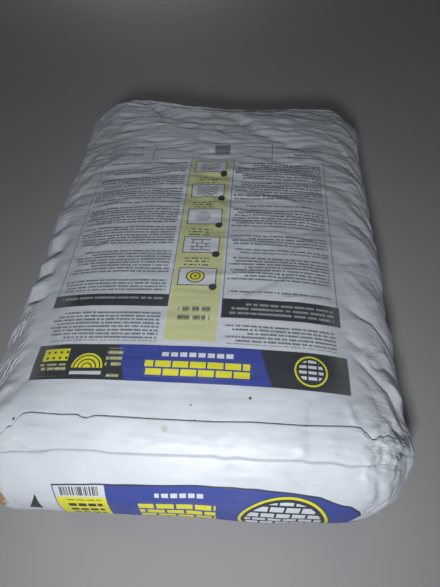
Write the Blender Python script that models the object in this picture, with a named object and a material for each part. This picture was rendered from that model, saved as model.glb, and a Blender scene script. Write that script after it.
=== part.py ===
"""A full paper sack of dry mortar mix, lying flat on its front panel.

Units are metres and +Z is up. X runs across the sack and Y along it, and the origin is at the
middle of the flat underside. The sack is lofted from cross-sections that stand square to Y.
"""

import math

import bmesh
import bpy
from mathutils import Vector

# The filled sack, without its ears
SACK_LENGTH = 0.610
SACK_WIDTH = 0.404
EDGE_HEIGHT = 0.104
CROWN = 0.012

# How far the roundings reach in from the sides and the ends, and how high they bulge most
SIDE_ROUND = 0.051
END_ROUND = 0.088
BELLY_HEIGHT = 0.044

# How much further each side comes in at the very end, where the corners tuck in
CORNER_TUCK = 0.020

# Above 2 the roundings are fuller than an ellipse.
FULLNESS = 2.3

# The closure at each end: the mouth of the paper tube, folded over and glued down
FOLD_INSET = 0.035
FLAP_WIDTH = 0.027
FLAP_THICKNESS = 0.0016
FLAP_EDGE_RUN = 0.0012

# The corners of the fold, which stick out at the sides, a little above where the sides bulge most
EAR_REACH = 0.017
EAR_SPREAD = 0.020
EAR_RISE = 0.018

# Mesh fineness
SIDE_STEPS = 5
END_STEPS = 10
LONGEST_SPAN = 0.030

PAPER_COLOUR = (0.60, 0.61, 0.66, 1.0)
PAPER_ROUGHNESS = 0.55


def flap_edges():
    """Distances from the middle of the sack to the closure's free edge and to its fold."""
    fold = SACK_LENGTH / 2 - FOLD_INSET
    return fold - FLAP_WIDTH, fold


def even_stops(start, end):
    """Stops from start to end, both included, no further apart than the longest span."""
    count = max(1, math.ceil((end - start) / LONGEST_SPAN))
    return [start + (end - start) * i / count for i in range(count + 1)]


def end_reach(step):
    """How far along an end's rounding a section stands. The last one is the blunt end itself."""
    return END_ROUND * math.sin(math.radians(90) * step / (END_STEPS + 1))


def end_core():
    """Distance from the middle of the sack to where the roundings of its ends begin."""
    return SACK_LENGTH / 2 - end_reach(END_STEPS)


def section_places():
    """Where the cross-sections stand along Y, with a close pair at each edge of each closure."""
    core = end_core()
    outer = [core + end_reach(step) for step in range(1, END_STEPS + 1)]
    for edge in flap_edges():
        outer += [edge - FLAP_EDGE_RUN / 2, edge + FLAP_EDGE_RUN / 2]
    outer.sort()
    return [-y for y in reversed(outer)] + even_stops(-core, core) + outer


def bent(turn):
    """A rounding's reach sideways and upwards, as shares of it, at an angle above level."""
    sideways = abs(math.cos(turn)) ** (2 / FULLNESS)
    upwards = math.copysign(abs(math.sin(turn)) ** (2 / FULLNESS), turn)
    return sideways, upwards


def half_section(y):
    """The +X half of a cross-section, from the middle of the underside to the middle of the top."""
    end_share = max(0.0, (abs(y) - end_core()) / END_ROUND)
    swell = (1 - end_share**FULLNESS) ** (1 / FULLNESS)
    core = SACK_WIDTH / 2 - SIDE_ROUND - CORNER_TUCK * end_share**4
    rise = EDGE_HEIGHT - BELLY_HEIGHT
    level = even_stops(0.0, SACK_WIDTH / 2 - SIDE_ROUND)
    level = [x * core / level[-1] for x in level]
    low = BELLY_HEIGHT * (1 - swell)
    high = BELLY_HEIGHT + rise * swell
    points = [Vector((x, y, low)) for x in level[:-1]]
    for step in range(-SIDE_STEPS, SIDE_STEPS + 1):
        sideways, upwards = bent(math.radians(90) * step / SIDE_STEPS)
        height = rise if upwards > 0 else BELLY_HEIGHT
        points.append(Vector((
            core + SIDE_ROUND * swell * sideways,
            y,
            BELLY_HEIGHT + height * swell * upwards,
        )))
    points += [Vector((x, y, high)) for x in reversed(level[:-1])]
    return [finished(point) for point in points]


def finished(point):
    """Adds the crown of the top, the ears and the thickness of the glued flaps."""
    across = 1 - (2 * point.x / SACK_WIDTH) ** 2
    along = 1 - (2 * point.y / SACK_LENGTH) ** 4
    share = max(0.0, (point.z - BELLY_HEIGHT) / (EDGE_HEIGHT - BELLY_HEIGHT))
    free, fold = flap_edges()
    ear = Vector((SACK_WIDTH / 2, (free + fold) / 2, BELLY_HEIGHT + EAR_RISE))
    from_ear = Vector((point.x, abs(point.y), point.z)) - ear
    pull = EAR_REACH * math.exp(-from_ear.length_squared / EAR_SPREAD**2)
    glued = free < abs(point.y) < fold and point.z > ear.z
    lift = FLAP_THICKNESS if glued else 0.0
    return point + Vector((pull, 0.0, CROWN * across * along * share + lift))


def full_section(y):
    """A closed cross-section. It starts at the middle of the underside and turns towards +X."""
    right = half_section(y)
    left = [Vector((-p.x, p.y, p.z)) for p in reversed(right[1:-1])]
    return right + left


def paper():
    material = bpy.data.materials.new("white_sack_paper")
    material.use_nodes = True
    shader = material.node_tree.nodes["Principled BSDF"]
    shader.inputs["Base Color"].default_value = PAPER_COLOUR
    shader.inputs["Roughness"].default_value = PAPER_ROUGHNESS
    shader.inputs["Metallic"].default_value = 0.0
    material.diffuse_color = PAPER_COLOUR
    return material


def loft(bm, sections):
    """Skins the sections, and closes the ends with the first and the last of them."""
    rings = [[bm.verts.new(point) for point in section] for section in sections]
    for ring, following in zip(rings, rings[1:]):
        for i in range(len(ring)):
            j = (i + 1) % len(ring)
            bm.faces.new((ring[i], ring[j], following[j], following[i]))
    bm.faces.new(rings[0])
    bm.faces.new(rings[-1])


def make_sack():
    bm = bmesh.new()
    loft(bm, [full_section(y) for y in section_places()])
    bmesh.ops.recalc_face_normals(bm, faces=bm.faces)
    mesh = bpy.data.meshes.new("sack")
    bm.to_mesh(mesh)
    bm.free()
    mesh.shade_smooth()
    mesh.materials.append(paper())
    sack = bpy.data.objects.new("sack", mesh)
    bpy.context.scene.collection.objects.link(sack)


for old in list(bpy.data.objects):
    bpy.data.objects.remove(old, do_unlink=True)
make_sack()
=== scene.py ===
import math
import random

import bmesh
import bpy
import numpy as np
from mathutils import Matrix, Vector, bvhtree, kdtree, noise


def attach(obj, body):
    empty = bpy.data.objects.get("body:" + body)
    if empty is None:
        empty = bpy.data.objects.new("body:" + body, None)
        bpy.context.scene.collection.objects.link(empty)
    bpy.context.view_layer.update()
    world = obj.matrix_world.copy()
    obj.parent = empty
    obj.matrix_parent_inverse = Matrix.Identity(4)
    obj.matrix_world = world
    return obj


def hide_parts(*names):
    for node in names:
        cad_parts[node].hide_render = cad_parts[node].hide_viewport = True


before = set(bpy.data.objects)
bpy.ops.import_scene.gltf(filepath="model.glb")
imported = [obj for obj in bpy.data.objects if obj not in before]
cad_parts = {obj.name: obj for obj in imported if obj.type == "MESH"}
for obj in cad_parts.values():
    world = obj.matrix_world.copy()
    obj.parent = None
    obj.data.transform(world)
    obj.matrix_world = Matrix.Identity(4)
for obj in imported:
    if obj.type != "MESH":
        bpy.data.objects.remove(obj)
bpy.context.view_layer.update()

MM = 0.001

# The sack's driving sizes in metres, the same as the solid's
SACK_LENGTH = 0.610
SACK_WIDTH = 0.404
EDGE_HEIGHT = 0.104
CROWN = 0.012
SIDE_ROUND = 0.051
END_ROUND = 0.088
BELLY_HEIGHT = 0.044
CORNER_TUCK = 0.020
FULLNESS = 2.3
CORE_LENGTH = SACK_LENGTH / 2 - END_ROUND
CORE_WIDTH = SACK_WIDTH / 2 - SIDE_ROUND

# The corners of the fold: how far they stick out, where, and how broad they are
EAR_REACH = 0.0055
EAR_PLACE = (0.202, 0.248, 0.066)
EAR_SPREAD = (0.022, 0.016, 0.017)

# The near right corner is pushed in a little, and the near left one tucks in less than the others.
CORNER_PUSH = 0.0030
NEAR_LEFT_TUCK = 0.3

# The closure flap: glued plies whose free edge stands a little proud, and the groove at its fold
FLAP_THICKNESS = 1.5 * MM
FLAP_GAP = 0.5 * MM
FLAP_OVERHANG = 1.3 * MM
GROOVE_DEPTH = 1.1 * MM
GROOVE_WIDTH = 0.9 * MM

# The flap's free edge and its fold, as seen in the photograph: millimetres round the sack from the
# middle of its top, and millimetres along it from its middle towards the near end
NEAR_FREE_EDGE = (
    (-235, 262), (-172, 262.5), (-159, 261.5), (-154, 259), (-151, 255), (-145.5, 253.5),
    (-143.5, 248), (-139, 243.5), (-132, 242.3), (-104, 243.6), (-90, 243), (-82, 246),
    (-73, 243.3), (-20, 244.3), (30, 244.3), (60, 243.2), (105, 243.8), (146, 242.3), (151, 243),
    (154, 246.5), (157, 247.5), (160, 251.5), (164, 251), (167, 247.5), (171, 248.5), (175, 245.5),
    (181, 247), (186, 245.5), (191, 249.5), (198, 249), (206, 252), (235, 257),
)
NEAR_FOLD = (
    (-235, 268), (-190, 272), (-155, 274), (-142, 272.6), (-128, 272.4), (-116, 271.6), (-106, 270),
    (-70, 269.6), (-58, 271), (20, 270.2), (30, 269.6), (40, 271.2), (49, 270), (68, 270.8),
    (105, 270.2), (113, 271.4), (130, 270.6), (144, 272.5), (160, 271), (178, 268), (205, 264),
    (235, 261),
)
FAR_FREE_EDGE = (
    (-235, 262), (-190, 256), (-150, 249), (-60, 244), (40, 246), (150, 247), (190, 256),
    (235, 262),
)
FAR_FOLD = ((-235, 266), (-180, 272), (-100, 273), (0, 269), (90, 271), (180, 270), (235, 266))

# Mesh spacing: spans across half of the top, steps round a side, and rows along the sack
HALF_TOP_SPANS = 49
UPPER_SIDE_STEPS = 46
LOWER_SIDE_STEPS = 14
EDGE_CROWDING = 0.25
NEAR_PANEL_START = 0.10
FAR_PANEL_START = 0.15
MIDDLE_ROWS = 92
NEAR_ROWS = {"panel": 82, "flap": 24, "face": 46}
FAR_ROWS = {"panel": 46, "flap": 14, "face": 34}

# Where the flap's glue ends near each side, as distances round the sack: from loose to glued
GLUE_LEFT = (-0.176, -0.150)
GLUE_RIGHT = (0.205, 0.165)

# The photographed view: a phone held over the near end
CAMERA_PLACE = (0.0674, -0.4034, 0.4888)
CAMERA_DOWN = math.radians(51.76)
CAMERA_LEFT = math.radians(8.24)
CAMERA_ROLL = math.radians(-5.32)
CAMERA_LENS = 29.1
CAMERA_SENSOR = 36.0

# Lights: name, place, target, size, power and, for a narrower beam, its spread in degrees
LIGHTS = (
    ("key", (0.02, -0.67, 0.53), (0, -0.17, 0.08), 0.10, 1.05, 95),
    ("side", (1.5, 0.3, 0.25), (0, 0, 0.05), 0.9, 1.2),
    ("left", (-1.5, 0.2, 0.25), (0, 0, 0.05), 0.9, 1.2),
    ("back", (-0.3, 1.5, 0.16), (0, 0.1, 0.05), 0.5, 1.8),
)
SKY_COLOUR = (0.84, 0.89, 1.0)
SKY_STRENGTH = 0.04
FLOOR_COLOUR = (0.42, 0.42, 0.43)
FLOOR_SIZE = 14


# Shape of the filled sack

def smooth(low, high, value):
    """0 at low, 1 at high, and a smooth step between them."""
    share = np.clip((value - low) / (high - low), 0, 1)
    return share * share * (3 - 2 * share)


def station_table():
    """Along the paper from the sack's middle to its blunt end: distance, end share and swell."""
    turn = np.linspace(0, math.pi / 2, 3000)
    share = np.sin(turn) ** (2 / FULLNESS)
    swell = np.cos(turn) ** (2 / FULLNESS)
    swell[-1] = 0.0
    step = np.hypot(np.diff(END_ROUND * share), np.diff((EDGE_HEIGHT - BELLY_HEIGHT) * swell))
    distance = CORE_LENGTH + np.concatenate([[0], np.cumsum(step)])
    return distance, share, swell


STATION, STATION_SHARE, STATION_SWELL = station_table()
END_STATION = STATION[-1]


def station_at(place):
    """Distance along the paper to a place along Y, both from the middle of the sack."""
    beyond = np.interp((place - CORE_LENGTH) / END_ROUND, STATION_SHARE, STATION)
    return np.where(place < CORE_LENGTH, place, beyond)


def make_columns():
    """Each column's core share, sideways and upwards, from the middle of the underside round."""
    step = np.linspace(0, 1, HALF_TOP_SPANS + 1)
    half = step * (1 + EDGE_CROWDING * (1 - step))
    lower = np.linspace(-math.pi / 2, 0, LOWER_SIDE_STEPS + 1)[1:]
    upper = np.linspace(0, math.pi / 2, UPPER_SIDE_STEPS + 1)[1:]
    turn = np.concatenate([lower, upper])
    sideways = np.abs(np.cos(turn)) ** (2 / FULLNESS)
    upwards = np.sign(turn) * np.abs(np.sin(turn)) ** (2 / FULLNESS)
    flat = np.zeros(len(half))
    share = np.concatenate([half, np.ones(len(turn)), half[::-1][1:]])
    sideways = np.concatenate([flat, sideways, flat[1:]])
    upwards = np.concatenate([flat - 1, upwards, flat[1:] + 1])
    left = slice(-2, 0, -1)
    return (
        np.concatenate([share, -share[left]]),
        np.concatenate([sideways, -sideways[left]]),
        np.concatenate([upwards, upwards[left]]),
    )


COLUMNS = make_columns()
COLUMN_COUNT = len(COLUMNS[0])
TOP_COLUMN = COLUMN_COUNT // 2


def form_points(station):
    """The sack's surface without wrinkles, for rows and columns of distances along the paper."""
    share, sideways, upwards = COLUMNS
    distance = np.abs(station)
    end_share = np.interp(distance, STATION, STATION_SHARE, left=0)
    swell = np.interp(distance, STATION, STATION_SWELL, left=1)
    rounded = CORE_LENGTH + END_ROUND * end_share
    y = np.sign(station) * np.where(distance < CORE_LENGTH, distance, rounded)
    tuck = CORNER_TUCK * end_share**4 * np.where((station < 0) & (share < 0), NEAR_LEFT_TUCK, 1)
    x = share * (CORE_WIDTH - tuck) + sideways * SIDE_ROUND * swell
    rise = np.where(upwards > 0, EDGE_HEIGHT - BELLY_HEIGHT, BELLY_HEIGHT)
    z = BELLY_HEIGHT + upwards * rise * swell
    across = 1 - (2 * x / SACK_WIDTH) ** 2
    along = 1 - (2 * y / SACK_LENGTH) ** 4
    upper = np.clip((z - BELLY_HEIGHT) / (EDGE_HEIGHT - BELLY_HEIGHT), 0, None)
    z = z + CROWN * across * along * upper
    corner = np.stack([np.abs(x), np.abs(y), z], -1)
    from_ear = (((corner - EAR_PLACE) / EAR_SPREAD) ** 2).sum(-1)
    push = CORNER_PUSH * smooth(0.05, 0.13, x) * np.where(station < 0, end_share, 0) ** 2
    return np.stack([x + np.sign(x) * EAR_REACH * np.exp(-from_ear), y + push, z], -1)


def form_normals(station):
    """Outward unit normals of that surface. Those of the two blunt ends face straight out."""
    nudge = 0.5 * MM
    ahead = form_points(np.minimum(station + nudge, END_STATION))
    behind = form_points(np.maximum(station - nudge, -END_STATION))
    points = form_points(station)
    across = np.roll(points, -1, 1) - np.roll(points, 1, 1)
    normal = np.cross(across, ahead - behind)
    normal = -normal / np.maximum(np.linalg.norm(normal, axis=-1, keepdims=True), 1e-12)
    normal[0] = (0, -1, 0)
    normal[-1] = (0, 1, 0)
    return normal


def across_coordinates():
    """Each column's distance round the sack from the middle of the top, + towards +X."""
    ring = form_points(np.zeros((1, COLUMN_COUNT)))[0]
    step = np.linalg.norm(np.roll(ring, -1, 0) - ring, axis=-1)
    round_it = np.concatenate([[0], np.cumsum(step)[:-1]])
    return round_it[TOP_COLUMN] - round_it


ACROSS = across_coordinates()


def line_across(points):
    """A line given in millimetres as distances along the paper, one for each column."""
    line = np.array(points) * MM
    return station_at(np.interp(ACROSS, line[:, 0], line[:, 1]))


def end_rows(free_edge, fold, panel_start, counts):
    """The rows of one end, from the panel over the flap to the tip.

    For each row and column: the distance along the paper, the height, and the seam's painted shade.
    """
    free, fold = line_across(free_edge), line_across(fold)
    glued = smooth(*GLUE_LEFT, ACROSS) * smooth(*GLUE_RIGHT, ACROSS)
    top = FLAP_THICKNESS * glued
    under = FLAP_OVERHANG * glued
    slack = (1 - glued) * FLAP_OVERHANG
    nothing = np.zeros(COLUMN_COUNT)
    before = free - 0.3 * MM
    rows = []

    # Painted shade: the rows marked here darken the paper, making a dark line in the gap under the
    # flap's free edge and in the groove at its fold.
    def row(distance, height, gap_shade=0.0):
        rows.append((distance, height, nothing + gap_shade * glued))

    def run(start, stop, count, start_height, stop_height):
        for share in np.arange(count) / count:
            row(start + (stop - start) * share, start_height + (stop_height - start_height) * share)

    run(panel_start, before, counts["panel"], nothing, nothing)
    row(before, nothing)
    row(free + under + slack * 0.2, nothing - 0.15 * MM * glued, 1)
    row(free + under + slack * 0.4, FLAP_GAP * glued, 1)
    row(free + slack * 0.6, top * 0.5, 0.4)
    row(free + 0.1 * MM + slack * 0.8, top)
    run(free + 1.2 * MM, fold - GROOVE_WIDTH, counts["flap"], top * 1.1, top * 0.9)
    row(fold - GROOVE_WIDTH, top * 0.8)
    row(fold, -GROOVE_DEPTH * glued, 1)
    row(fold + GROOVE_WIDTH, top * 0.3)
    run(fold + 2 * GROOVE_WIDTH, END_STATION, counts["face"], top * 0.3, nothing)
    row(nothing + END_STATION, nothing)
    return np.array(rows).transpose(1, 0, 2)


def all_rows():
    """Distance along the paper, flap height and the seam's painted shade, for every row and column.
    """
    near = end_rows(NEAR_FREE_EDGE, NEAR_FOLD, NEAR_PANEL_START, NEAR_ROWS)[:, ::-1]
    near = near * np.array([-1, 1, 1])[:, None, None]
    far = end_rows(FAR_FREE_EDGE, FAR_FOLD, FAR_PANEL_START, FAR_ROWS)
    middle = np.zeros((3, MIDDLE_ROWS - 1, COLUMN_COUNT))
    middle[0] = np.linspace(-NEAR_PANEL_START, FAR_PANEL_START, MIDDLE_ROWS + 1)[1:-1, None]
    return np.concatenate([near, middle, far], 1)


# Wrinkles

# The step at which a crease's line follows the form, and how broad its line is, where print wears
# and painted shade darkens the paper
TRACE_STEP = 6 * MM
WORN_AND_SHADED_LINE = 1.3 * MM

# Where each region begins and where it is in full, in metres: the flanks from the middle line, the
# far half and the near face along the sack
FLANK = (0.135, 0.185)
FAR_HALF = (-0.10, 0.17)
NEAR_FACE = (-0.272, -0.29)

# The hollow beside each edge of the top: its depth in millimetres, and its middle and breadth round
# the sack
SHOULDER_DEPTH = 4.5
SHOULDER_PLACE = 0.158
SHOULDER_BREADTH = 0.030

# How far the far slope has slumped, in millimetres, and where, in metres: from none to full along
# the sack, across it and above the floor
FAR_SLUMP = 13
SLUMP_ALONG = (0.19, 0.275)
SLUMP_ACROSS = (-0.115, 0.02)
SLUMP_RISE = (0.05, 0.09)

# Between these heights the wrinkles grow from none at the floor to full
OFF_FLOOR = (0.3 * MM, 14 * MM)

# The crumpled near right corner, in millimetres: its middle and its reach by axis
CRUMPLED_CORNER = ((178, -256, 92), (26, 24, 30))

# Fuller places at the far left and near left corners, in millimetres: centre, height and radius
FORM_BUMPS = (
    ((-132, 272, 97), 2.6, (15, 24, 20)), ((-150, 246, 100), 1.5, (16, 24, 20)),
    ((-172, -282, 48), 4.0, (24, 26, 38)),
)


def noise_field(points, size, seed, octaves=3):
    """Smooth noise, mostly from -1 to 1, for lumps of a given size. The size may differ by axis."""
    flat = points.reshape(-1, 3) / np.array(size) + seed * 17.3
    values = [noise.fractal(p, 0.9, 2.1, octaves) for p in flat]
    return np.array(values).reshape(points.shape[:-1])


def ridged(points, size, seed, octaves=2):
    """Noise with sharp crests, like paper that has been creased many times."""
    return 1 - 2.2 * np.abs(noise_field(points, size, seed, octaves))


def crumple(paper, across, along, seed, skew=0.0):
    """Heights from -1 to 1 over flat triangles with random corners, like crumpled paper.

    Their size across and along the sack is given. With skew they lean, alike on each side.
    """
    chance = random.Random(seed)
    u = np.broadcast_to(ACROSS, paper.station.shape).ravel()
    v = paper.station.ravel() + skew * np.abs(u)
    u, v = (u - u.min()) / across + 1, (v - v.min()) / along + 1
    wide, long = math.ceil(u.max()) + 2, math.ceil(v.max()) + 2
    corners = [
        (i + chance.uniform(-0.4, 0.4), j + chance.uniform(-0.4, 0.4), chance.uniform(-1, 1))
        for i in range(wide) for j in range(long)
    ]
    faces = []
    for i in range(wide - 1):
        for j in range(long - 1):
            a, b = i * long + j, (i + 1) * long + j
            if chance.random() < 0.5:
                faces += [(a, b, b + 1), (a, b + 1, a + 1)]
            else:
                faces += [(a, b, a + 1), (b, b + 1, a + 1)]
    tree = bvhtree.BVHTree.FromPolygons(corners, faces)
    down = Vector((0, 0, -1))
    hits = [tree.ray_cast(Vector((a, b, 2)), down)[0] for a, b in zip(u.tolist(), v.tolist())]
    return np.array([hit.z if hit else 0.0 for hit in hits]).reshape(paper.station.shape)


class Paper:
    """The sack's surface, and the height of its creases above the plain form."""

    def __init__(self, station, flap_height, seam_shade):
        self.station = station
        self.seam_shade = seam_shade
        self.form = form_points(station)
        self.normal = form_normals(station)
        self.flap_height = flap_height
        self.height = np.zeros(station.shape)
        self.fold_line = np.zeros(station.shape)
        self.tree = kdtree.KDTree(self.form.size // 3)
        for i, point in enumerate(self.form.reshape(-1, 3)):
            self.tree.insert(point, i)
        self.tree.balance()

    def trace(self, points):
        """Follows the form between points given in millimetres."""
        corners = [Vector(point) * MM for point in points]
        route = []
        for a, b in zip(corners, corners[1:]):
            count = max(1, round((b - a).length / TRACE_STEP))
            route += [a.lerp(b, i / count) for i in range(count)]
        route.append(corners[-1])
        found = [self.tree.find(point) for point in route]
        line = np.array([place for place, _, _ in found])
        direction = self.normal.reshape(-1, 3)[[index for _, index, _ in found]]
        if len(line) > 4:
            line[1:-1] = (line[:-2] + 2 * line[1:-1] + line[2:]) / 4
        return line, direction

    def crease(self, points, height, width, lean=0.0, taper=0.35, sharp=0.9):
        """Adds one crease, its height and width in millimetres: a valley if the height is negative.

        With some lean, the paper is pushed up on the line's right and down on its left.
        """
        line, facing = self.trace(points)
        reach = 5 * width * MM
        low, high = line.min(0) - reach, line.max(0) + reach
        near = np.all((self.form > low) & (self.form < high), -1)
        place = self.form[near]
        best = np.full(len(place), np.inf)
        side = np.zeros(len(place))
        along = np.zeros(len(place))
        total = len(line) - 1
        for i in range(total):
            a, run = line[i], line[i + 1] - line[i]
            length = max(float(run @ run), 1e-12)
            share = np.clip((place - a) @ run / length, 0, 1)
            offset = place - a - share[:, None] * run
            distance = np.linalg.norm(offset, axis=-1)
            closer = distance < best
            best[closer] = distance[closer]
            right = np.cross(run, facing[i])
            side[closer] = (offset[closer] @ right) / np.linalg.norm(right)
            along[closer] = (i + share[closer]) / total
        facing_it = np.clip((self.normal[near] @ facing.mean(0)) * 2, 0, 1)
        rounded = np.sqrt(best**2 + (sharp * MM) ** 2) - sharp * MM
        fade = smooth(0, taper, along) * smooth(1, 1 - taper, along) * facing_it
        tilt = lean * np.tanh(side / (width * MM)) * np.exp(-best / (2 * width * MM))
        profile = height * np.exp(-rounded / (width * MM)) + tilt
        self.height[near] += fade * profile * MM
        strength = min(1.0, abs(height) + abs(lean))
        self.fold_line[near] += strength * fade * np.exp(-((best / WORN_AND_SHADED_LINE) ** 2))

    def fold(self, points, depth, width, step, taper=0.3):
        """A hollow with a sharp step along its line, as where paper laps over itself."""
        self.crease(points, -depth, width, 0, taper)
        self.crease(points, 0, width * 0.34, step, taper, 0.4)

    def nearness(self, centre, radius):
        """1 at a place and 0 far from it. Millimetres; the radius may differ by axis."""
        away = ((self.form / MM - centre) / radius) ** 2
        return np.exp(-away.sum(-1))

    def bump(self, centre, height, radius):
        """A soft bump, or a dent where the height is negative, in millimetres."""
        self.height += height * MM * self.nearness(centre, radius)

    def close_ends(self):
        """Gives the same height to the points that meet along each blunt end."""
        for row in (0, -1):
            place = np.unique(self.form[row, :, 0].round(6), return_inverse=True)[1]
            self.height[row] = (np.bincount(place, self.height[row]) / np.bincount(place))[place]

    def surface(self):
        """The finished points, none below the floor."""
        off_floor = smooth(*OFF_FLOOR, self.form[..., 2])
        points = self.form + self.normal * (self.height * off_floor + self.flap_height)[..., None]
        points[..., 2] = np.maximum(points[..., 2], 0)
        return points


def lumps(paper):
    """Uneven filling, and fine crumpling that grows towards the far end and the sides."""
    form = paper.form
    x, y, z = form[..., 0], form[..., 1], form[..., 2]
    flank = smooth(*FLANK, np.abs(x))
    far = smooth(*FAR_HALF, y)
    near_face = smooth(*NEAR_FACE, y)
    corner = paper.nearness(*CRUMPLED_CORNER)
    round_it = np.broadcast_to(np.abs(ACROSS), x.shape)
    skewed = np.stack([round_it * np.sign(x), y + 0.75 * round_it, np.zeros_like(x)], -1)
    shoulder = np.exp(-(((round_it - SHOULDER_PLACE) / SHOULDER_BREADTH) ** 2))
    shoulder = shoulder * smooth(-0.25, -0.17, y) * smooth(0.28, 0.20, y)
    slump = smooth(*SLUMP_ALONG, y) * smooth(*SLUMP_ACROSS, x) * smooth(*SLUMP_RISE, z)
    # Each layer's height in millimetres, and its pattern
    layers = (
        (2.2, noise_field(form, 0.15, 1, 2)),
        (0.3 + 0.5 * flank + 0.2 * near_face, noise_field(form, 0.045, 2, 2)),
        ((0.35 + 1.6 * far) * (1 - 0.6 * flank), ridged(form, (0.080, 0.018, 0.03), 3)),
        ((0.16 + 0.85 * far) * (1 - 0.6 * flank), ridged(form, (0.045, 0.0085, 0.02), 6)),
        (1.3 * flank, ridged(skewed, (0.070, 0.030, 1.0), 8)),
        (0.1 + 1.9 * flank, crumple(paper, 0.050, 0.019, 4, 0.75)),
        (0.05 + 0.8 * flank + 0.6 * corner, crumple(paper, 0.018, 0.011, 5, 0.4)),
        (0.18 + 1.6 * far * (1 - flank), crumple(paper, 0.055, 0.015, 6)),
        (1.2 * corner, crumple(paper, 0.008, 0.007, 7)),
        (-SHOULDER_DEPTH, shoulder),
        (-FAR_SLUMP, slump),
    )
    paper.height += MM * sum(height * layer for height, layer in layers)
    for bump in FORM_BUMPS:
        paper.bump(*bump)
    paper.corner = corner
    paper.crumpled = 0.30 + 0.75 * flank + 0.9 * far + 1.6 * corner - 0.15 * near_face
    left_pleats = smooth(-0.10, -0.13, y) * smooth(-0.24, -0.20, y) * smooth(-0.160, -0.172, x)
    paper.pleated = left_pleats * smooth(0.06, 0.09, z)


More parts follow.
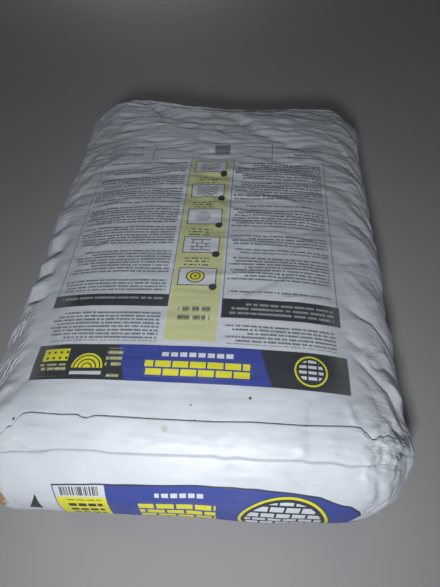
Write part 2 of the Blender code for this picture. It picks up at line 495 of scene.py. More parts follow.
# Folds, in millimetres: a line of points on the sack, then depth, width, step and any taper
FOLDS = (
    # Down from the right edge of the top
    (((136, -66, 110), (157, -62, 109), (177, -56, 101), (193, -41, 82)), 1.2, 5, 0.7),
    (((140, -115, 110), (158, -122, 108), (167, -128, 106), (177, -132, 101), (183, -139, 96),
      (190, -148, 88), (197, -156, 72)), 2.6, 6, 1.5),
    (((146, -152, 109), (155, -161, 108), (165, -165, 106)), 2.4, 6, 0.5),
    (((147, -166, 109), (153, -176, 109), (164, -183, 106), (172, -192, 103), (178, -200, 100),
      (186, -209, 92), (192, -220, 84), (195, -232, 76)), 3.6, 6, 1.8),
    (((163, -171, 106), (176, -161, 101), (186, -157, 94)), 1.6, 4, -1.0),
    (((164, -174, 106), (177, -183, 100), (185, -177, 94), (194, -180, 80)), 2.4, 4.5, 1.2),
    (((180, -203, 98), (187, -213, 91), (190, -224, 86), (190, -236, 84)), 2.4, 3.5, 1.2),
    (((152, -190, 108), (163, -203, 106), (170, -222, 103), (172, -236, 101)), 1.4, 6, 0.5),
    # Along the left edge
    (((-182, -34, 95), (-196, -44, 72), (-202, -56, 42)), 3.0, 6, 1.0),
    (((-180, -74, 98), (-195, -84, 74), (-201, -98, 44)), 2.4, 5, 1.0),
    (((-178, -110, 100), (-194, -122, 74), (-200, -138, 46)), 2.0, 5, 1.0),
    (((-180, 4, 98), (-196, -2, 72), (-202, -14, 40)), 2.0, 6, 1.0),
    (((-158, -30, 108), (-168, -38, 105), (-178, -47, 99), (-188, -54, 90)), 1.6, 4, 1.4),
    (((-164, -70, 107), (-171, -74, 104), (-180, -72, 98), (-188, -76, 88)), 2.2, 4, 1.2),
    (((-156, -104, 109), (-167, -109, 106), (-175, -114, 102), (-184, -113, 94)), 2.6, 3.5, 1.6),
    (((-152, -8, 109), (-166, -14, 106), (-178, -12, 100), (-188, -6, 90)), 1.8, 5, 0.8),
    (((-150, 40, 109), (-166, 36, 106), (-182, 40, 97), (-192, 50, 84)), 1.6, 6, 0.7),
    (((-150, 92, 109), (-168, 84, 105), (-184, 88, 95), (-194, 96, 80)), 1.6, 6, -0.7),
    (((-148, -159, 109), (-163, -168, 107), (-175, -180, 102)), 1.2, 4.5, 0.6),
    (((-150, -203, 109), (-165, -207, 106), (-178, -212, 100), (-190, -222, 86)), 2.2, 7, 0.6),
    (((-158, -214, 108), (-165, -226, 105), (-174, -240, 100)), 1.8, 6, 0.5),
    (((-138, -200, 110), (-154, -222, 107), (-170, -242, 101)), 1.3, 7, -0.4),
    # From the far left corner over the far slope
    (((-133, 274, 96), (-116, 256, 102), (-99, 240, 108), (-79, 218, 112), (-61, 205, 113),
      (-38, 198, 113), (-5, 194, 114)), 5.0, 10, 1.6, 0.15),
    (((-20, 226, 112), (0, 219, 113), (21, 207, 113), (34, 192, 114), (52, 170, 114),
      (72, 154, 114), (99, 137, 113), (132, 124, 111)), 4.2, 11, 1.2, 0.15),
    (((-41, 200, 113), (-9, 189, 114), (14, 165, 115), (34, 152, 115), (62, 146, 115)),
      2.2, 5, 1.0),
    (((-102, 228, 110), (-58, 187, 113), (-23, 178, 114), (18, 181, 114)), 1.8, 5, 0.8),
    (((20, 262, 103), (60, 240, 108), (100, 222, 108), (150, 212, 106)), 2.4, 7, 1.0),
    (((60, 232, 109), (96, 206, 110), (140, 186, 109)), 2.0, 6, -0.8),
    (((-142, 268, 97), (-156, 250, 101), (-164, 226, 103), (-168, 200, 104)), 2.0, 5, 0.8),
    (((-148, 262, 97), (-166, 248, 99), (-178, 232, 97), (-186, 210, 92)), 2.2, 5, 0.8),
    (((-158, 165, 108), (-114, 157, 112), (-75, 150, 114), (-35, 152, 115), (-15, 150, 115),
      (24, 139, 115), (60, 136, 114)), 1.1, 4, 0.6),
    (((-116, 168, 111), (-150, 163, 109), (-172, 168, 103), (-188, 178, 90)), 2.0, 5, -0.8),
    # Beside and across the near closure
    (((113, -216, 110), (108, -228, 110), (107, -244, 107)), 0.9, 3, 0.8, 0.2),
    (((157, -274, 94), (159, -269, 97), (161, -263, 99), (166, -257, 100), (169, -253, 100)),
      1.8, 3, 1.6, 0.15),
    (((153, -251, 104), (158, -253, 102), (164, -252, 101)), 1.4, 2, -0.9),
    (((180, -258, 91), (186, -256, 86), (193, -254, 78), (199, -249, 66)), 1.2, 2.6, 1.2, 0.2),
    (((175, -258, 94), (181, -263, 88), (187, -268, 77)), 1.8, 3.2, 0.8),
    (((176, -240, 98), (184, -240, 92), (192, -239, 82), (198, -236, 70)), 1.8, 3.0, 1.0),
    (((162, -269, 96), (170, -269, 93), (177, -269, 88), (185, -266, 80)), 1.2, 2, 1.0, 0.2),
    (((161, -273, 93), (170, -274, 89), (178, -273, 84)), 1.0, 2, 0.8, 0.2),
    (((157, -299, 58), (163, -295, 64), (169, -292, 66)), 1.8, 2.2, 1.4, 0.2),
    (((163, -299, 54), (170, -294, 58), (176, -288, 62)), 1.6, 2.2, 1.2, 0.2),
)

# Creases, in millimetres: a line of points, then height, width and any lean and taper
CREASES = (
    # Down from the right edge of the top
    (((176, -160, 101), (186, -166, 93), (192, -172, 84)), 2.2, 5),
    (((181, -190, 97), (189, -200, 88), (195, -212, 76)), 3.2, 4, 0.8),
    (((171, -200, 104), (178, -214, 99), (183, -230, 95), (184, -240, 93)), 2.4, 4, -0.8),
    (((196, -60, 72), (201, -85, 52), (199, -105, 34)), -2.2, 7, 0.8),
    (((193, -100, 82), (200, -122, 60), (201, -135, 40)), -2.0, 6, -0.8),
    # Along the left edge
    (((-162, -54, 107), (-172, -60, 104), (-182, -62, 96), (-190, -60, 84)), 3.6, 5, 1.0),
    (((-160, -92, 108), (-174, -97, 103), (-186, -98, 92)), 2.6, 6, 0.6),
    (((-166, -118, 106), (-176, -122, 101), (-185, -121, 93)), 1.8, 3, 0.8),
    # From the far left corner over the far slope
    (((-128, 282, 90), (-104, 258, 102), (-76, 236, 109), (-40, 222, 112), (0, 219, 112)),
      4.2, 6, 0, 0.2),
    (((-14, 238, 110), (16, 224, 112), (40, 204, 113), (62, 184, 113), (96, 160, 112)),
      2.6, 5, 0, 0.2),
    (((-136, 278, 93), (-142, 252, 102), (-148, 214, 108), (-150, 185, 109)), 2.6, 5, 0.8),
    (((-96, 192, 112), (-85, 195, 112), (-72, 186, 113)), 1.2, 2.4),
    # Beside and across the near closure
    (((107, -247, 107), (104, -255, 105), (105, -268, 100)), 1.4, 2.0, 0.8, 0.2),
    (((126, -248, 106), (130, -258, 103), (130, -268, 99)), 0.5, 4, 0.3, 0.2),
    (((143, -222, 108), (145, -233, 107), (149, -242, 106)), 1.3, 1.8, 0.7, 0.25),
    (((146, -222, 108), (149, -233, 107), (152, -242, 106)), -1.0, 1.6, 0.5, 0.25),
    (((153, -274, 95), (156, -266, 98), (158, -260, 100)), 1.5, 2.2),
    (((170, -272, 89), (171, -262, 96), (170, -254, 99)), 1.3, 3, 0.5),
    (((184, -246, 92), (190, -248, 85), (197, -248, 72)), 1.6, 3),
    (((172, -262, 96), (178, -262, 91), (184, -258, 86)), 0.9, 2),
    (((155, -275, 93), (157, -284, 87), (160, -294, 74)), 1.6, 2.6, 0.6, 0.25),
    (((162, -276, 91), (165, -284, 84), (168, -293, 68)), -1.4, 2.6, 0.5, 0.25),
    (((168, -276, 88), (173, -284, 78), (176, -290, 64)), 1.2, 3, 0.4),
    (((-143, -262, 101), (-134, -269, 98), (-123, -273, 96), (-112, -272, 97)),
      -1.2, 1.6, 0.7, 0.2),
    (((-60, -277, 94), (-52, -284, 88), (-50, -292, 78)), -0.9, 7),
    (((47, -270, 99), (42, -280, 92), (45, -291, 80)), -1.0, 7, 0.3),
    (((84, -273, 96), (96, -284, 88), (110, -292, 78)), -1.0, 8, 0.5),
)


def right_flank_creases(paper):
    """Four more of the folds that run down from the right edge, farther along."""
    for i, (y, drop) in enumerate(((96, 6), (52, -8), (14, -20), (130, 14))):
        points = ((150, y, 109), (172, y + drop / 2, 103), (192, y + drop, 84))
        paper.fold(points, 1.5 + 0.3 * i, 6, 0.6)


# The puckers along the left edge, in millimetres: centre, height and size
PUCKERS = (
    ((-184, -36, 93), -11, 12), ((-174, -24, 102), -3, 6), ((-180, -75, 98), -5.5, 8),
    ((-178, -112, 99), -4.4, 5), ((-180, 2, 98), -4.5, 12), ((-184, 50, 94), -3.5, 14),
    ((-192, -62, 88), 0.8, 6), ((-186, -18, 94), 1.2, 5), ((-188, -96, 90), 1, 7),
    ((-190, -60, 88), -3, 26), ((-188, 120, 90), -3, 20),
)
PUCKER_SHAPE = np.array((1.6, 1, 1.9))


def left_edge_creases(paper):
    """The puckers along the left edge, and the fine slanting pleats below them."""
    for centre, height, size in PUCKERS:
        paper.bump(centre, height, size * PUCKER_SHAPE)
    draw = random.Random(7).uniform
    for i in range(26):
        y, x, length = -122 - 3.9 * i + draw(-1, 1), -171 + draw(-4, 3), draw(9, 17)
        tip = (x - 0.5 * length, y - 0.8 * length, 96)
        end = (x - 1.1 * length, y - 1.4 * length, 84)
        paper.crease(((x, y, 104), tip, end), draw(-1.2, -0.5), 1.7, draw(0.3, 0.7), 0.3, 0.4)


def far_slope_creases(paper):
    """Short creases scattered over the far half, stronger towards the far end."""
    draw = random.Random(11).uniform
    for _ in range(46):
        x, y, length, drop = draw(-150, 90), draw(70, 240), draw(30, 90), draw(-16, 4)
        grown = 0.5 + 0.5 * min(1.0, (y - 70) / 90)
        points = ((x, y, 113), (x + length / 2, y + drop * 0.3, 113), (x + length, y + drop, 113))
        paper.crease(points, grown * draw(-1.5, 1.2), draw(2.5, 5), grown * draw(-0.6, 0.6))


# Thin straight creases over the printed panel, in millimetres
PANEL_RIDGES = (
    ((-34, 62, 116), (21, 16, 116), (44, 10, 116), (66, 1, 115), (92, -4, 114)),
    ((-34, 80, 116), (27, 81, 116), (48, 72, 116), (74, 58, 115)),
    ((-24, -34, 116), (31, -36, 116), (66, -41, 115), (84, -48, 114)),
    ((-28, -85, 116), (11, -86, 116), (67, -84, 115), (90, -91, 114)),
    ((-60, 120, 115), (11, 118, 115), (37, 112, 115), (90, 97, 114)),
    ((-120, 60, 113), (-80, 66, 114), (-36, 60, 115)),
    ((-130, 20, 112), (-96, 28, 113), (-50, 24, 115)),
    ((40, 40, 115), (80, 34, 114), (130, 16, 111)),
    ((50, -20, 115), (90, -26, 114), (134, -42, 111)),
    ((85, -117, 114), (99, -113, 113), (112, -110, 112)),
)
PANEL_VALLEYS = (
    ((96, -36, 113), (120, -18, 112), (141, -1, 110)),
    ((58, -54, 115), (69, -34, 115), (79, -18, 114)),
    ((58, -112, 115), (85, -91, 114), (105, -77, 113)),
    ((-45, -9, 115), (-35, 4, 115), (-26, 13, 116)),
    ((37, -22, 116), (49, 3, 115), (62, 26, 114)),
    ((90, -60, 113), (108, -38, 112), (132, -20, 111)),
    ((30, -128, 116), (52, -112, 115), (70, -98, 115)),
    ((-140, -60, 111), (-110, -40, 113), (-96, -22, 114)),
    ((-60, 30, 115), (-48, 50, 115), (-34, 66, 115)),
    ((104, 20, 112), (120, 44, 112), (130, 70, 110)),
)


def panel_creases(paper):
    for height, lines in ((1.2, PANEL_RIDGES), (-0.9, PANEL_VALLEYS)):
        for points in lines:
            paper.crease(points, height, 2.4, 0.8, sharp=0.4)


# The sharp lines of the near right corner, in millimetres: points, height and width
CORNER_LINES = (
    (((154, -276, 95), (157, -268, 99), (163, -260, 101), (166, -255, 101)), 2.2, 1.5),
    (((158, -273, 95), (164, -264, 98), (168, -257, 100)), 1.6, 1.4),
    (((160, -274, 94), (166, -266, 97), (170, -259, 98)), -1.8, 1.6),
    (((149, -244, 106), (154, -249, 104), (159, -253, 103), (166, -250, 102)), 1.3, 1.3),
    (((171, -248, 99), (177, -253, 94), (184, -246, 91)), 1.6, 1.4),
    (((184, -251, 88), (191, -247, 82), (197, -248, 76)), 1.8, 1.8),
    (((179, -257, 91), (187, -254, 84), (195, -252, 75)), -1.8, 1.8),
    (((166, -260, 99), (172, -262, 96), (180, -260, 91)), 1.0, 1.2),
    (((165, -267, 96), (174, -265, 92), (183, -263, 86)), 1.0, 1.2),
    (((154, -274, 96), (154, -281, 90), (155, -290, 80)), 1.1, 1.4),
    (((159, -276, 92), (160, -284, 85), (161, -293, 70)), 1.2, 1.5),
    (((143, -218, 109), (145, -230, 107), (146, -242, 106)), 1.2, 1.3),
    (((149, -218, 109), (150, -230, 107), (151, -242, 106)), 1.0, 1.2),
)

# The soft bumps and dents round that corner: centre, height and radius
CORNER_BUMPS = (
    ((190, -280, 50), 2.4, (14, 12, 16)),
    ((199, -222, 62), -3.0, (12, 8, 18)),
    ((186, -284, 48), 1.6, (12, 9, 12)),
    ((185, -239, 93), -2.4, (7, 5, 8)),
    ((180, -257, 91), 3.4, (13, 16, 12)),
)


def near_end_creases(paper):
    """The crumpled right end of the flap, and faint creases across the rest of it."""
    for line in CORNER_LINES:
        paper.crease(*line, lean=0.3, taper=0.25, sharp=0.3)
    for bump in CORNER_BUMPS:
        paper.bump(*bump)
    draw = random.Random(23).uniform
    for _ in range(30):
        x = draw(-135, 150)
        points = ((x, -250, 106), (x + draw(-9, 9), -264, 101))
        paper.crease(points, draw(-0.4, 0.4), 3.0, draw(-0.35, 0.35))
    for _ in range(44):
        x, y, turn, length = draw(155, 192), draw(-274, -234), draw(0, math.pi), draw(5, 11)
        dx, dy = length * math.cos(turn), length * math.sin(turn)
        z = 98 - 0.9 * max(0, x - 166)
        points = ((x - dx, y - dy, z), (x + dx, y + dy, z - 1))
        paper.crease(points, draw(-1.3, 1.3), 1.5, draw(-0.9, 0.9), 0.4, 0.3)


def hidden_side_creases(paper):
    """Creases on the sides that the photograph doesn't show, in keeping with those that it does."""
    draw = random.Random(31).uniform
    for side in (-1, 1):
        for i in range(46):
            y, top, lean = -235 + 10.5 * i + draw(-4, 4), draw(70, 98), draw(-22, 22)
            foot = (side * 190, y + lean, draw(8, 30))
            points = ((side * 190, y, top), (side * 202, y + lean / 2, 44), foot)
            paper.crease(points, draw(-2.2, 1.2), draw(4, 8), draw(-1, 1), 0.45)
    for count, pitch, route, low, high, tilt in (
        (26, 12, ((285, 88), (304, 48), (292, 12)), -2, 1, 1),
        (22, 14, ((-304, 46), (-300, 24), (-280, 4)), -1.6, 0.8, 0.8),
    ):
        for i in range(count):
            x, lean = -150 + pitch * i + draw(-4, 4), draw(-16, 16)
            points = [(x + share * lean, y, z) for share, (y, z) in zip((0, 0.5, 1), route)]
            paper.crease(points, draw(low, high), draw(5, 9), draw(-tilt, tilt), 0.45)


def place_creases(paper):
    for fold in FOLDS:
        paper.fold(*fold)
    for crease in CREASES:
        paper.crease(*crease)
    right_flank_creases(paper)
    left_edge_creases(paper)
    far_slope_creases(paper)
    panel_creases(paper)
    near_end_creases(paper)
    hidden_side_creases(paper)


# Paper and print

# How soft the print's edges are, in millimetres
SOFT_EDGE = 0.5


def add_node(tree, kind, **values):
    """A node, with constant values on its own sockets."""
    node = tree.nodes.new("ShaderNode" + kind)
    for name, value in values.items():
        node.inputs[name].default_value = value
    return node


def math_method(operation):
    """A method of Field that adds one Math node. Wrapping gives the remainder of a division."""
    return lambda field, *others: field.math(operation, field, *others)


class Field:
    """A number that the material works out at each point, so that its sums read as sums."""

    def __init__(self, tree, source):
        self.tree = tree
        self.source = source

    def plug(self, socket, value):
        if isinstance(value, Field):
            self.tree.links.new(value.source, socket)
        else:
            socket.default_value = value

    def math(self, operation, *values):
        node = add_node(self.tree, "Math")
        node.operation = operation
        for socket, value in zip(node.inputs, values):
            self.plug(socket, value)
        return Field(self.tree, node.outputs[0])

    def clamp(self):
        """Kept between 0 and 1, by a node of its own: that takes less of the renderer's stack."""
        node = add_node(self.tree, "Clamp")
        self.plug(node.inputs[0], self)
        return Field(self.tree, node.outputs[0])

    def __rsub__(self, other):
        return self.math("SUBTRACT", other, self)

    __add__ = __radd__ = math_method("ADD")
    __mul__ = __rmul__ = math_method("MULTIPLY")
    __sub__ = math_method("SUBTRACT")
    __truediv__ = math_method("DIVIDE")
    size = math_method("ABSOLUTE")
    floor = math_method("FLOOR")
    root = math_method("SQRT")
    wrap = math_method("FLOORED_MODULO")
    most = math_method("MAXIMUM")

    def above(self, edge, soft=SOFT_EDGE):
        """1 above the edge and 0 below it, with a soft step."""
        return self.math("MULTIPLY_ADD", self - edge, 1 / soft, 0.5).clamp()

    def below(self, edge, soft=SOFT_EDGE):
        return self.math("MULTIPLY_ADD", self - edge, -1 / soft, 0.5).clamp()

    def between(self, low, high, soft=SOFT_EDGE):
        middle, half = (low + high) / 2, (high - low) / 2
        return (self - middle).size().below(half, soft)

    def noise(self, seed):
        """Smooth noise from 0 to 1 along this field, with lumps of about 1."""
        node = add_node(self.tree, "TexNoise", Scale=1.0, Detail=0.0)
        node.noise_dimensions = "1D"
        self.plug(node.inputs["W"], self + seed)
        return Field(self.tree, node.outputs["Fac"])


def split(tree, source, scale):
    """The three coordinates of a vector, scaled."""
    node = add_node(tree, "SeparateXYZ")
    tree.links.new(source, node.inputs[0])
    return [Field(tree, output) * scale for output in node.outputs]


def distance(*parts):
    """The length of a vector, from its coordinates."""
    first, *others = [part * part for part in parts]
    return sum(others, first).root()


def running_bond(u, v, length, course, joint, soft=0.4):
    """1 where a brick is and 0 at the joints, for bricks laid in running bond."""
    shifted = (u + (v / course).floor().wrap(2) * (length / 2)).wrap(length)
    return shifted.between(joint, length, soft) * v.wrap(course).between(joint, course, soft)


class Sheet:
    """The flat paper that a material paints: u across and v along it, both in millimetres."""

    def __init__(self, tree, u, v, colour):
        self.tree = tree
        self.u = u
        self.v = v
        self.colour = colour

    def lay(self, painter):
        """Lets a painter work in a node group of its own, so that long materials build quickly."""
        group = bpy.data.node_groups.new(painter.__name__, "ShaderNodeTree")
        for name in ("U", "V"):
            group.interface.new_socket(name, in_out="INPUT", socket_type="NodeSocketFloat")
        for way in ("INPUT", "OUTPUT"):
            group.interface.new_socket("Colour", in_out=way, socket_type="NodeSocketColor")
        ends = group.nodes.new("NodeGroupInput").outputs
        inner = Sheet(group, Field(group, ends[0]), Field(group, ends[1]), ends[2])
        painter(inner)
        group.links.new(inner.colour, group.nodes.new("NodeGroupOutput").inputs[0])
        node = add_node(self.tree, "Group")
        node.node_tree = group
        for source, socket in zip((self.u.source, self.v.source, self.colour), node.inputs):
            self.tree.links.new(source, socket)
        self.colour = node.outputs[0]

    def paint(self, mask, colour):
        """Lays a colour over what is painted so far, where the mask is 1."""
        mix = add_node(self.tree, "Mix")
        mix.data_type = "RGBA"
        self.tree.links.new(mask.source, mix.inputs["Factor"])
        for socket, value in ((mix.inputs[6], self.colour), (mix.inputs[7], colour)):
            if isinstance(value, tuple):
                socket.default_value = (*value, 1)
            else:
                self.tree.links.new(value, socket)
        self.colour = mix.outputs[2]

    def box(self, left, right, low, high):
        return self.u.between(left, right) * self.v.between(low, high)

    def frame(self, left, right, low, high, line):
        inner = self.box(left + line, right - line, low + line, high - line)
        return self.box(left, right, low, high) * (1 - inner)

    def distance_from(self, u, v):
        return distance(self.u - u, self.v - v)

    def dash_rows(self, left, right, low, high, pitch, seed, tall=0.5, dash=2.2, ragged=0.14):
        """Rows of plain dashes in a box, with a ragged left edge and some rows left out."""
        row = (self.v / pitch).floor()
        within = self.v.wrap(pitch) / pitch
        stripe = within.between(0.5 - tall / 2, 0.5 + tall / 2, 0.3)
        dashes = (self.u / dash + row * 37.31).noise(seed).above(0.33, 0.08)
        breaks = (self.u / 0.55 + row * 51.7).noise(seed + 4).above(0.42, 0.25)
        length = (row * 3.7).noise(seed + 9)
        end = left + (right - left) * ragged * 4 * (length - 0.45).most(0)
        kept = (row * 1.9).noise(seed + 13).above(0.36, 0.02)
        inside = (self.u - end).above(0) * self.u.below(right) * self.v.between(low, high)
        return stripe * dashes * (0.35 + 0.65 * breaks) * inside * kept


# Colours
BLUE_INK = (0.058, 0.085, 0.36)
DARK_INK = (0.050, 0.058, 0.066)
SLATE_INK = (0.070, 0.080, 0.11)
YELLOW_INK = (0.82, 0.80, 0.050)
PALE_YELLOW_INK = (0.66, 0.70, 0.37)
WHITE_PAPER = (0.70, 0.76, 0.83)
CLOUDED_PAPER = (0.57, 0.63, 0.73)
FIBRE = (0.60, 0.60, 0.62)
DIRT = (0.06, 0.05, 0.045)
# Painted shade for the flap's gap and groove and for the crease lines
SEAM_SHADE = (0.12, 0.11, 0.13)
# Grey for clouded dust, and for the painted shade in the hollows
DUST_AND_HOLLOW_SHADE = (0.40, 0.40, 0.41)
STAIN = (0.55, 0.45, 0.20)
KRAFT = (0.46, 0.29, 0.16)
TORN_EDGE = (0.80, 0.78, 0.74)

# How the paper shines
PAPER_GLOSS = {"Specular IOR Level": 0.45, "Coat Weight": 0.04, "Coat Roughness": 0.35}

# Places on the flat paper, in millimetres: across from the middle line towards +X, and along from
# the sack's middle towards the far end. First the whole print, the yellow column and its pictures
PRINT_HALF_WIDTH = 146
COLUMN_HALF_WIDTH = 25
COLUMN_ENDS = (-168, 104)
PICTURE_START = -108
PICTURE_PITCH = 44.6

# The band near the closure and the card on it, as left, right, low and high edges, then the ends of
# its slanted blue field, the middle of the arch and the place of the wheel across
BAND = (-146, 146, -211, -174)
CARD = (-138, -112, -192, -179)
BLUE_FIELD = (-60, 72)
ARCH = (-92, -199)
WHEEL_U = 112

# The near end: how far along its band begins, where the ticket and the oval are across, how far the
# oval's middle lies from the band's edge, how far along the small triangle begins, and how far the
# print is pulled at the right
END_PRINT_START = 293.5
TICKET = (-110, -64)
OVAL_U = 102
OVAL_DEPTH = 39.5
TRIANGLE_START = 311
RIGHT_PULL = 3.4

# Specks of dirt, as place across, place along and radius, and a faint stain
SPECKS = ((59, -222, 1.8), (8, -231, 1.3), (-147, -248, 1.6), (12.5, -243.8, 1.2), (106, -242, 1.3))
STAIN_PLACE = (-12, -252)

# The rubbed corner in the sack's own space, in millimetres: its middle and its half sizes
TEAR_PLACE = (-166, -301, 60)
TEAR_SIZE = (13, 12, 20)


def bricks(sheet, left, right, low, high, length, course, joint):
    """Bricks laid in running bond inside a box."""
    bond = running_bond(sheet.u - left, sheet.v - low, length, course, joint)
    return bond * sheet.box(left, right, low, high)


def paint_band(sheet):
    """The band near the closure: a slanted blue field, dark ones, bricks and plain shapes."""
    u, v = sheet.u, sheet.v
    left, right, low, high = BAND
    middle = (low + high) / 2
    band = sheet.box(left, right, low, high)
    slant = u + (v - middle) * 0.3
    sheet.paint(band, DARK_INK)
    sheet.paint(slant.between(*BLUE_FIELD) * band, BLUE_INK)
    sheet.paint(bricks(sheet, -38, 58, -206, -190, 16, 8, 1.6), YELLOW_INK)
    sheet.paint(sheet.box(-24, 44, -185.5, -181) * u.wrap(8.5).above(2.0, 0.4), WHITE_PAPER)
    left, right, low, high = CARD
    sheet.paint(sheet.box(left, right, low, high), YELLOW_INK)
    dots = (u.wrap(6.5) - 3.25).size() + (v.wrap(6) - 3).size()
    sheet.paint(dots.below(1.7) * sheet.box(left, right, low + 0.5, high - 0.5), DARK_INK)
    dashes = sheet.dash_rows(left - 1, right, -208, low - 3, 4.6, 5.0, tall=0.55, dash=4.0)
    sheet.paint(dashes, PALE_YELLOW_INK)
    arch_u, arch_v = ARCH
    arch = sheet.distance_from(arch_u, arch_v)
    half_disc = arch.below(15) * v.above(arch_v)
    sheet.paint(half_disc, YELLOW_INK)
    sheet.paint(half_disc * arch.wrap(4).below(1.2, 0.4) * arch.above(4, 0.1), DARK_INK)
    sheet.paint(sheet.box(arch_u - 15, arch_u + 15, arch_v - 7, arch_v - 3.5), WHITE_PAPER)
    sheet.paint(sheet.dash_rows(-76, -60, -208, -178, 6, 6.0, dash=5.0), PALE_YELLOW_INK)
    wheel = sheet.distance_from(WHEEL_U, middle)
    sheet.paint(wheel.between(13.2, 14.8), YELLOW_INK)
    bars = v.wrap(5.5).above(2.6, 0.4) * u.wrap(9).above(1.5, 0.4)
    sheet.paint(bars * wheel.below(11), WHITE_PAPER)


def paint_column(sheet):
    """The pale yellow column: five small framed pictures, each with a dot and lines of dashes."""
    u, v = sheet.u, sheet.v
    low, high = COLUMN_ENDS
    half = COLUMN_HALF_WIDTH
    sheet.paint(sheet.box(-half, half, low, high), PALE_YELLOW_INK)
    sheet.paint(sheet.dash_rows(-17, 17, -160, -128, 10.5, 21.0, dash=5.0, ragged=0.1), SLATE_INK)
    place = (v - PICTURE_START).wrap(PICTURE_PITCH)
    number = ((v - PICTURE_START) / PICTURE_PITCH).floor()
    steps = v.between(PICTURE_START, high, 0.3)
    inside = u.between(-20, 20) * place.between(6, 30) * steps
    edge = inside * (1 - u.between(-19, 19) * place.between(7, 29))
    sheet.paint(inside, WHITE_PAPER)
    radius = distance(u + 2, (place - 18) * math.sqrt(1.4))
    rings = radius.wrap(4.2).below(1.5) * radius.below(10.5) * number.below(0.5, 0.1)
    joints = 1 - running_bond(u, place, 10, 5, 0.9)
    wall = joints * number.between(0.5, 1.5, 0.1) * u.between(-12, 10) * place.between(9, 26)
    hatch = (u - place).wrap(3.6).below(1.0) * radius.below(9) * number.between(1.5, 2.5, 0.1)
    waves = (place + 2 * u.math("SINE", u / 3)).wrap(4).below(1.2)
    waves = waves * number.above(2.5, 0.1) * u.between(-13, 12) * place.between(10, 26)
    sheet.paint(radius.below(8, 1) * inside * number.below(0.5, 0.1), YELLOW_INK)
    sheet.paint((rings + wall + hatch + waves) * inside, SLATE_INK)
    sheet.paint(edge, SLATE_INK)
    sheet.paint(distance(u - 17, place - 4.5).below(4.2, 0.6) * steps, DARK_INK)
    lines = place.between(32, 44) * v.wrap(4.4).below(1.6) * u.between(-16, 10, 1)
    broken = (u / 3.5 + (v / 4.4).floor() * 17.3).noise(31).above(0.45, 0.06)
    sheet.paint(lines * broken * steps, SLATE_INK)


def paint_dashes(sheet):
    """Blocks of dashes, a dark bar over two of them, and thin rules beside them."""
    for left, right, top, seed in ((-141, -31, -133, 41.0), (31, 137, -146, 47.0)):
        sheet.paint(sheet.dash_rows(left, right, -170, top, 4.1, seed), SLATE_INK)
        sheet.paint(sheet.dash_rows(left, right, -112, 103, 4.1, seed + 2), SLATE_INK)
    for left, right, low, high, seed in (
        (-147, -26, -129, -114, 61.0), (28, 143, -141, -118, 67.0),
    ):
        sheet.paint(sheet.box(left, right, low, high), DARK_INK)
        inner = (left + 8, right - 6, low + 3, high - 3)
        dashes = sheet.dash_rows(*inner, 5.3, seed, tall=0.42, dash=3.4, ragged=0.2)
        sheet.paint(dashes * 0.6, WHITE_PAPER)
    for u, start in ((-PRINT_HALF_WIDTH, -129), (-26.5, -129), (28, -142), (141, -142)):
        sheet.paint(sheet.box(u, u + 0.9, start, 108) * 0.8, SLATE_INK)


def paint_footer(sheet):
    """The plain frame beyond the column, and the dashes in it and beside it."""
    sheet.paint(sheet.frame(-79, 77, 108, 141, 0.9) * 0.8, SLATE_INK)
    sheet.paint(sheet.box(2, 22, 119, 137) * 0.7, SLATE_INK)
    for left, right, low, high, seed, strength in (
        (-140, -92, 112, 140, 71.0, 0.9), (96, 140, 110, 138, 73.0, 0.9),
        (-60, -6, 122, 134, 75.0, 0.5),
    ):
        sheet.paint(sheet.dash_rows(left, right, low, high, 4.6, seed) * strength, SLATE_INK)


def paint_end(sheet):
    """The band that turns down over the near end. Its edge sags where the paper is pulled."""
    u, v = sheet.u, sheet.v
    sag = 0.07 * (u - 70).most(0) + 0.19 * (u - 128).most(0) - 0.23 * (u - 150).most(0)
    sag = sag + 0.042 * (19 - u).most(0)
    depth = -1 * v - sag - 0.8 * (u / 22).noise(83) - END_PRINT_START
    gathered = (u - 148).most(0) * (v + 331).size()
    whole = u.above(-111) * depth.between(0, 118) * gathered.below(1600, 25)
    sheet.paint(whole, BLUE_INK)
    ticket = u.between(*TICKET) * depth.between(0.8, 60)
    sheet.paint(ticket, WHITE_PAPER)
    sheet.paint(ticket * depth.above(14), YELLOW_INK)
    bars = (u / 1.3).noise(87).above(0.5, 0.1)
    sheet.paint(u.between(-105, -69) * depth.between(2.8, 12) * bars, DARK_INK)
    blocks = (u + 102).wrap(9).between(1.5, 9) * depth.wrap(9).between(4, 9)
    sheet.paint(blocks * u.between(-102, -69) * depth.between(17, 45), DARK_INK)
    sheet.paint(whole * depth.below(1.4), DARK_INK)
    wall = running_bond(u + 40, depth, 18, 9, 2.2, SOFT_EDGE)
    sheet.paint(wall * u.between(-36, 36) * depth.between(18, 54), YELLOW_INK)
    dashes = u.between(-20, 24) * depth.between(8, 12.5) * u.wrap(8).above(2)
    sheet.paint(dashes, WHITE_PAPER)
    oval = distance((u - OVAL_U) * 0.75, v + END_PRINT_START + OVAL_DEPTH)
    sheet.paint(oval.below(34) * whole, DARK_INK)
    sheet.paint(oval.between(31, 33.2) * whole, YELLOW_INK)
    white_wall = bricks(sheet, 55, 150, -370, -END_PRINT_START - 11, 15, 8.5, 2.2) * oval.below(28)
    sheet.paint(white_wall * whole, WHITE_PAPER)


def paint_marks(sheet):
    """The small plain triangle at the end, and the specks of dirt that the photograph shows."""
    depth = -1 * sheet.v - TRIANGLE_START
    side = (sheet.u + 129 + depth * 0.26).size() - depth * 0.28
    sheet.paint(side.below(0) * depth.between(0, 24), DARK_INK)
    ragged = ((sheet.u + 3 * sheet.v) / 2.5).noise(91) * 1.6 - 0.3
    for u, v, radius in SPECKS:
        sheet.paint((sheet.distance_from(u, v) + ragged).below(radius, 0.7), DIRT)
    sheet.paint(sheet.distance_from(*STAIN_PLACE).below(2.4, 2.5) * 0.6, STAIN)


